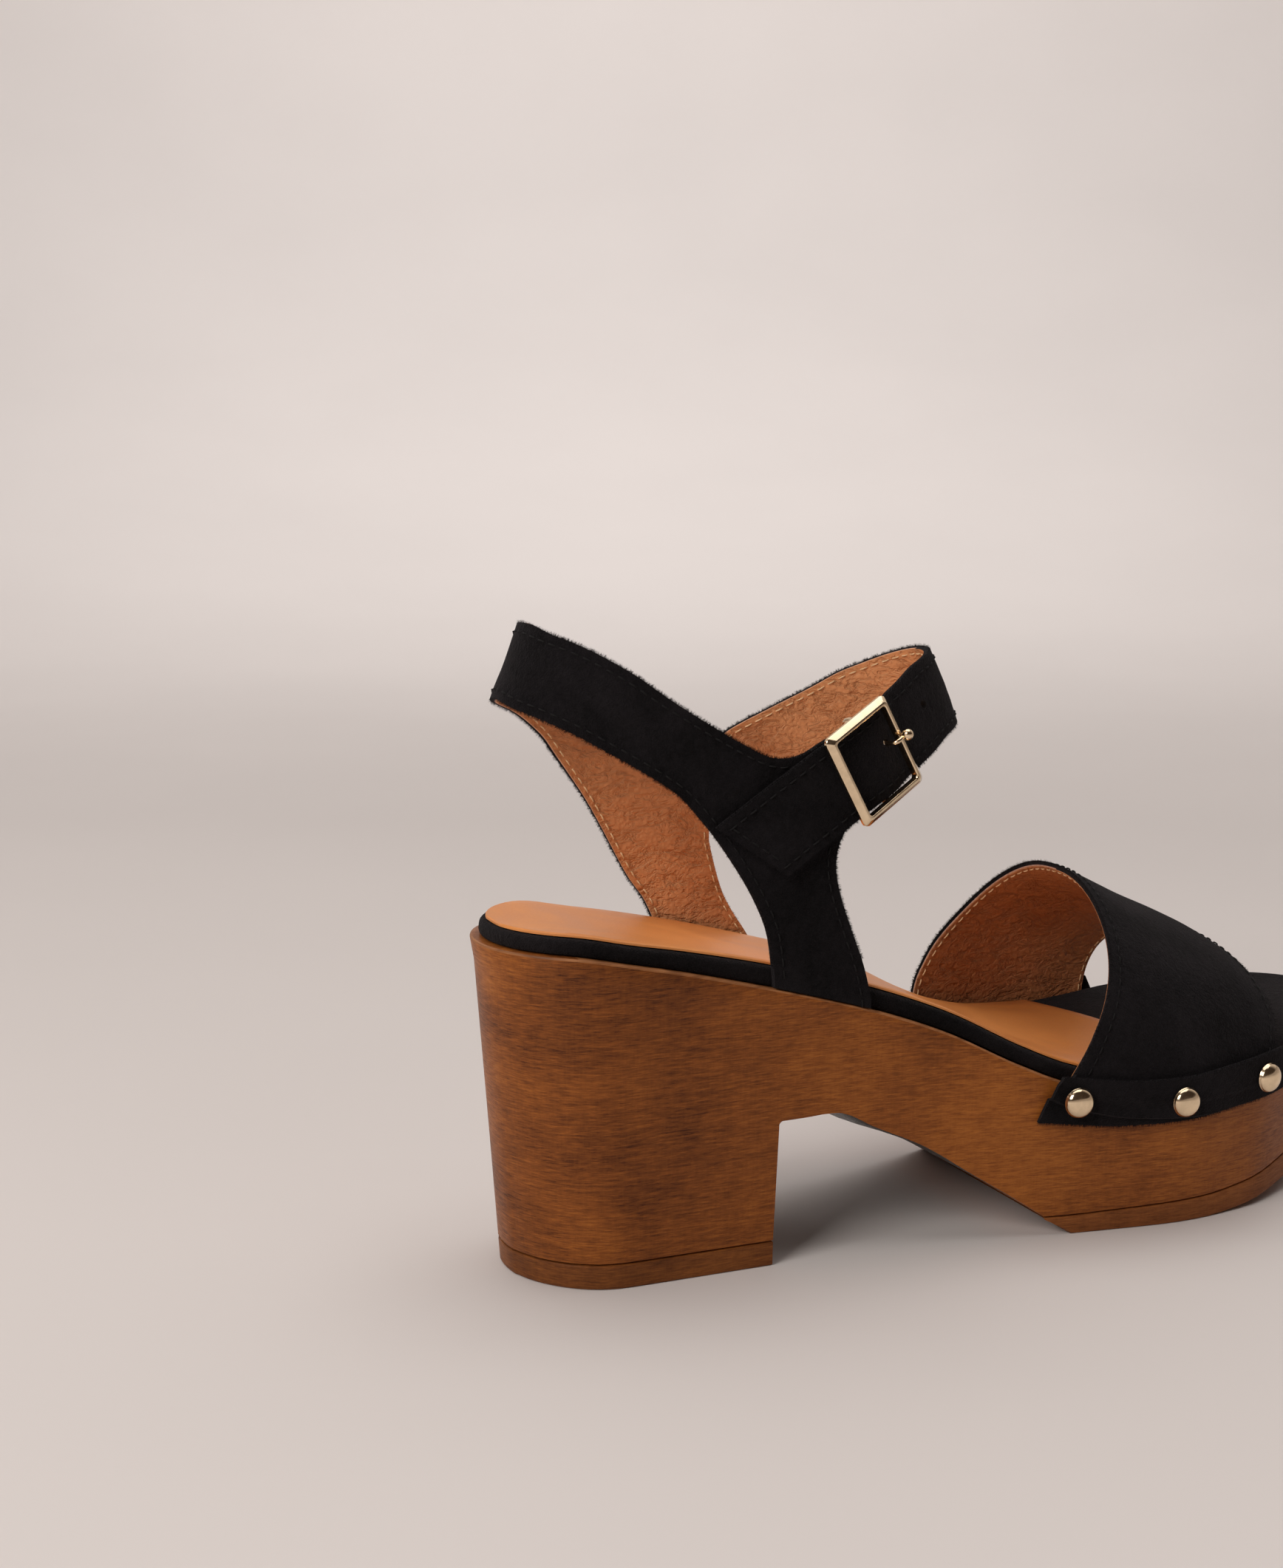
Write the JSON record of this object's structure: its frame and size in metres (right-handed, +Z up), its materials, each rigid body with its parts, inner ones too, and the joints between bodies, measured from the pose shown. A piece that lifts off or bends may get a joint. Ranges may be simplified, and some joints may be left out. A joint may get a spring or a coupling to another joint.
{
  "type": "clog_sandal",
  "caption": "Right-foot clog sandal with a wooden block-heel sole, studded black suede toe strap and a buckled ankle strap",
  "frame": {"origin": "centre of the block heel's tread, on the floor", "axes": "+X to the toe, +Y to the inner side of the foot, +Z up"},
  "size_m": [0.2545, 0.0982, 0.1544],
  "materials": {
    "wood": "stained, satin",
    "top_lift_wood": "stained, satin",
    "tread_rubber": "matt",
    "black_suede": "napped suede, tan lining inside",
    "footbed_suede": "napped suede",
    "tan_leather": "smooth",
    "pale_gold": "polished"
  },
  "bodies": {
    "root": {"sole": "wood", "heel_top_lift": "top_lift_wood", "forefoot_tread": "tread_rubber", "footbed": "footbed_suede", "insole_sock": "tan_leather", "toe_strap": "black_suede", "toe_band_lateral": "black_suede", "toe_band_medial": "black_suede", "ankle_upper": "black_suede", "buckle_frame": "pale_gold", "buckle_pin": "pale_gold", "stud_lateral_1": "pale_gold", "stud_lateral_2": "pale_gold", "stud_lateral_3": "pale_gold", "stud_medial_1": "pale_gold", "stud_medial_2": "pale_gold", "stud_medial_3": "pale_gold"}
  },
  "joints": []
}
